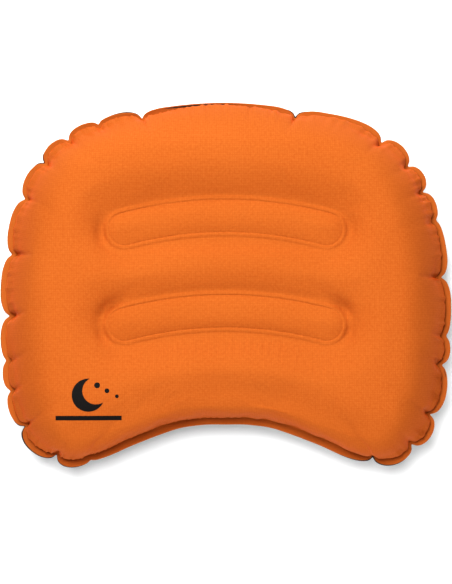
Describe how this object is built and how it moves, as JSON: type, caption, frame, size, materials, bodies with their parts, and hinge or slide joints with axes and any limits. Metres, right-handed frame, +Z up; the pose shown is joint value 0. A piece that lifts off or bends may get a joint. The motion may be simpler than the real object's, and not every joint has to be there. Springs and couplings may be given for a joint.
{
  "type": "inflatable camp pillow",
  "caption": "Inflatable camp pillow with a curved neck recess, scalloped weld flange, internal ties and a two-stage air valve, lying flat and fully inflated.",
  "frame": {"origin": "on the floor under the middle of the pillow's outline", "axes": "+X across the pillow towards the flank with the valve, +Y away from the neck recess, +Z up"},
  "size_m": [0.4215, 0.3401, 0.1056],
  "materials": {
    "orange_fabric": "fine ripstop weave with a soft satin sheen",
    "charcoal_fabric": "fine ripstop weave, matt",
    "tie_film": "translucent film, matt",
    "valve_plastic": "moulded, fine satin",
    "silicone": "soft, translucent",
    "print_ink": "flat screen print"
  },
  "bodies": {
    "pillow": {"top_panel": "orange_fabric", "bottom_panel": "charcoal_fabric", "rear_tie_top_patch": "tie_film", "rear_tie_web": "tie_film", "rear_tie_bottom_patch": "tie_film", "front_tie_top_patch": "tie_film", "front_tie_web": "tie_film", "front_tie_bottom_patch": "tie_film", "valve_patch": "charcoal_fabric", "valve_base": "valve_plastic", "valve_collar": "valve_plastic", "printed_mark": "print_ink"},
    "plug": {"dump_plug": "valve_plastic", "dump_strap": "valve_plastic"},
    "cap": {"valve_cap": "valve_plastic", "cap_strap": "valve_plastic"},
    "flap": {"one_way_flap": "silicone"}
  },
  "joints": [
    {"name": "plug_hinge", "type": "hinge", "parent": "pillow", "child": "plug", "pos_m": [0.19202, 0.0096, 0.0246], "axis": [-0.5, 0, -0.866], "range_deg": [0, 120]},
    {"name": "cap_hinge", "type": "hinge", "parent": "plug", "child": "cap", "pos_m": [0.19557, 0.0426, 0.02255], "axis": [0.5, 0, 0.866], "range_deg": [0, 150]},
    {"name": "flap_hinge", "type": "hinge", "parent": "plug", "child": "flap", "pos_m": [0.18656, 0.0205, 0.02775], "axis": [0.5, 0, 0.866], "range_deg": [0, 45]}
  ]
}
